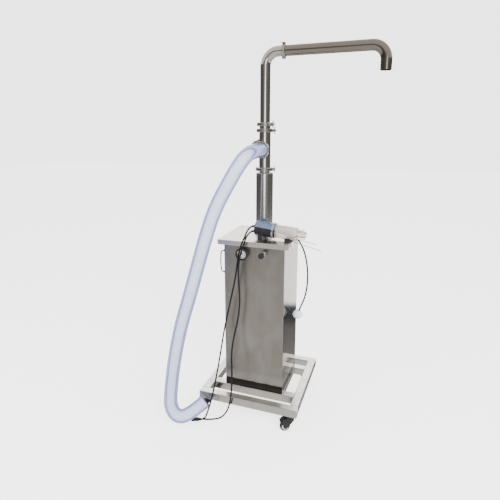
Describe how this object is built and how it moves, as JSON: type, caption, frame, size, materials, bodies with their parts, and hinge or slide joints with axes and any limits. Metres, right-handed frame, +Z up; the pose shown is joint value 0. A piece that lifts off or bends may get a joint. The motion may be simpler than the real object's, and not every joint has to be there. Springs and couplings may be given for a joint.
{
  "type": "piston liquid filler",
  "caption": "Upright pneumatic piston filler: steel cabinet on a castered square frame, pump column with swivelling spout arm, suction hose and float level sensor.",
  "frame": {"origin": "middle of the square base frame, on the floor", "axes": "+Z up, +X towards the spout arm, -Y towards the front panel"},
  "size_m": [0.9308, 0.6666, 1.78],
  "materials": {
    "frame_steel": "fine brushed square tube",
    "cabinet_steel": "vertical brushed sheet",
    "lid_steel": "fine brushed sheet",
    "tube_steel": "polished sanitary tube",
    "clamp_steel": "cast and tumbled stainless",
    "inner_steel": "machined",
    "cylinder_alloy": "clear anodised",
    "seal_rubber": "moulded",
    "caster_metal": "black",
    "caster_wheel": "black wheel, grey hub",
    "black_plastic": "moulded",
    "gauge_case": "black case, white dial",
    "pointer_black": "black",
    "fitting_chrome": "bright",
    "loop_tube": "black air tube",
    "sensor_blue": "metallic blue",
    "sensor_black": "black",
    "clear_plastic": "clear",
    "float_white": "white",
    "hose_clear": "translucent bluish",
    "cable_black": "black jacket"
  },
  "bodies": {
    "base": {"front_rail": "frame_steel", "rear_rail": "frame_steel", "left_rail": "frame_steel", "right_rail": "frame_steel", "front_cross_rail": "frame_steel", "rear_cross_rail": "frame_steel", "bearer_rails": "frame_steel", "caster_stems": "caster_metal", "cabinet_shell": "cabinet_steel", "lid": "lid_steel", "lid_screws": "clamp_steel", "door_hinges": "cabinet_steel", "gauge_body": "gauge_case", "regulator_body": "fitting_chrome", "air_loop": "loop_tube", "air_cylinder": "cylinder_alloy", "tie_rods": "inner_steel", "barrel": "tube_steel", "tee": "tube_steel", "hose_adapter": "tube_steel", "check_spool": "tube_steel", "clamp_barrel": "clamp_steel", "clamp_tee": "clamp_steel", "clamp_mast": "clamp_steel", "clamp_branch": "clamp_steel", "sensor_body": "sensor_black", "sensor_cover": "sensor_blue", "sensor_guard": "clear_plastic", "sensor_cradle": "sensor_black", "probe_rods": "inner_steel", "float_ball": "float_white", "cable_plug": "black_plastic", "hose": "hose_clear", "cable_a": "cable_black", "cable_b": "cable_black", "cable_float": "cable_black"},
    "caster_fr_swivel": {"caster_fr_fork": "caster_metal"},
    "caster_fr_roll": {"caster_fr_wheel": "caster_wheel"},
    "caster_fr_pedal": {"caster_fr_brake": "black_plastic"},
    "caster_fl_swivel": {"caster_fl_fork": "caster_metal"},
    "caster_fl_roll": {"caster_fl_wheel": "caster_wheel"},
    "caster_fl_pedal": {"caster_fl_brake": "black_plastic"},
    "caster_rr_swivel": {"caster_rr_fork": "caster_metal"},
    "caster_rr_roll": {"caster_rr_wheel": "caster_wheel"},
    "caster_rr_pedal": {"caster_rr_brake": "black_plastic"},
    "caster_rl_swivel": {"caster_rl_fork": "caster_metal"},
    "caster_rl_roll": {"caster_rl_wheel": "caster_wheel"},
    "caster_rl_pedal": {"caster_rl_brake": "black_plastic"},
    "plunger": {"piston_rod": "inner_steel", "piston": "inner_steel", "piston_seals": "seal_rubber"},
    "inlet_valve": {"inlet_poppet": "inner_steel"},
    "outlet_valve": {"outlet_poppet": "inner_steel"},
    "mast_turn": {"mast": "tube_steel", "clamp_arm": "clamp_steel"},
    "arm_turn": {"arm": "tube_steel"},
    "speed_knob": {"regulator_knob": "black_plastic"},
    "pointer": {"gauge_pointer": "pointer_black"},
    "door": {"rear_door": "cabinet_steel"},
    "latch": {"door_latch": "cabinet_steel"}
  },
  "joints": [
    {"name": "caster_fr_swivels", "type": "hinge", "parent": "base", "child": "caster_fr_swivel", "pos_m": [0.215, -0.23, 0.07], "axis": [0, 0, 1], "continuous": true},
    {"name": "caster_fr_rolls", "type": "hinge", "parent": "caster_fr_swivel", "child": "caster_fr_roll", "pos_m": [0.19465, -0.24272, 0.025], "axis": [0.5299, -0.848, 0], "continuous": true},
    {"name": "caster_fr_brakes", "type": "hinge", "parent": "caster_fr_swivel", "child": "caster_fr_pedal", "pos_m": [0.18701, -0.24749, 0.057], "axis": [0.5299, -0.848, 0], "range_deg": [0, 15]},
    {"name": "caster_fl_swivels", "type": "hinge", "parent": "base", "child": "caster_fl_swivel", "pos_m": [-0.215, -0.23, 0.07], "axis": [0, 0, 1], "continuous": true},
    {"name": "caster_fl_rolls", "type": "hinge", "parent": "caster_fl_swivel", "child": "caster_fl_roll", "pos_m": [-0.23818, -0.22379, 0.025], "axis": [-0.2588, -0.9659, 0], "continuous": true},
    {"name": "caster_fl_brakes", "type": "hinge", "parent": "caster_fl_swivel", "child": "caster_fl_pedal", "pos_m": [-0.24688, -0.22146, 0.057], "axis": [-0.2588, -0.9659, 0], "range_deg": [0, 15]},
    {"name": "caster_rr_swivels", "type": "hinge", "parent": "base", "child": "caster_rr_swivel", "pos_m": [0.215, 0.23, 0.07], "axis": [0, 0, 1], "continuous": true},
    {"name": "caster_rr_rolls", "type": "hinge", "parent": "caster_rr_swivel", "child": "caster_rr_roll", "pos_m": [0.19325, 0.21986, 0.025], "axis": [0.4226, -0.9063, 0], "continuous": true},
    {"name": "caster_rr_brakes", "type": "hinge", "parent": "caster_rr_swivel", "child": "caster_rr_pedal", "pos_m": [0.18509, 0.21605, 0.057], "axis": [0.4226, -0.9063, 0], "range_deg": [0, 15]},
    {"name": "caster_rl_swivels", "type": "hinge", "parent": "base", "child": "caster_rl_swivel", "pos_m": [-0.215, 0.23, 0.07], "axis": [0, 0, 1], "continuous": true},
    {"name": "caster_rl_rolls", "type": "hinge", "parent": "caster_rl_swivel", "child": "caster_rl_roll", "pos_m": [-0.23807, 0.22339, 0.025], "axis": [0.2756, -0.9613, 0], "continuous": true},
    {"name": "caster_rl_brakes", "type": "hinge", "parent": "caster_rl_swivel", "child": "caster_rl_pedal", "pos_m": [-0.24672, 0.2209, 0.057], "axis": [0.2756, -0.9613, 0], "range_deg": [0, 15]},
    {"name": "plunger_stroke", "type": "slide", "parent": "base", "child": "plunger", "axis": [0, 0, 1], "range_m": [0, 0.22]},
    {"name": "inlet_lift", "type": "slide", "parent": "base", "child": "inlet_valve", "axis": [0, 1, 0], "range_m": [0, 0.01]},
    {"name": "outlet_lift", "type": "slide", "parent": "base", "child": "outlet_valve", "axis": [0, 0, 1], "range_m": [0, 0.008]},
    {"name": "mast_swivel", "type": "hinge", "parent": "base", "child": "mast_turn", "pos_m": [0.008, 0, 1.426], "axis": [0, 0, 1], "continuous": true},
    {"name": "arm_swivel", "type": "hinge", "parent": "mast_turn", "child": "arm_turn", "pos_m": [0.094, 0, 1.744], "axis": [1, 0, 0], "range_deg": [-90, 90]},
    {"name": "knob_turn", "type": "hinge", "parent": "base", "child": "speed_knob", "pos_m": [0.049, -0.18, 0.834], "axis": [0, 1, 0], "range_deg": [-135, 135]},
    {"name": "pointer_sweep", "type": "hinge", "parent": "base", "child": "pointer", "pos_m": [-0.053, -0.157, 0.829], "axis": [0, 1, 0], "range_deg": [0, 270], "stiffness_Nm_per_rad": 0.002},
    {"name": "door_swing", "type": "hinge", "parent": "base", "child": "door", "pos_m": [-0.141, 0.146, 0.49], "axis": [0, 0, 1], "range_deg": [0, 110]},
    {"name": "latch_turn", "type": "hinge", "parent": "door", "child": "latch", "pos_m": [0.105, 0.1424, 0.5], "axis": [0, 1, 0], "range_deg": [0, 90]}
  ]
}
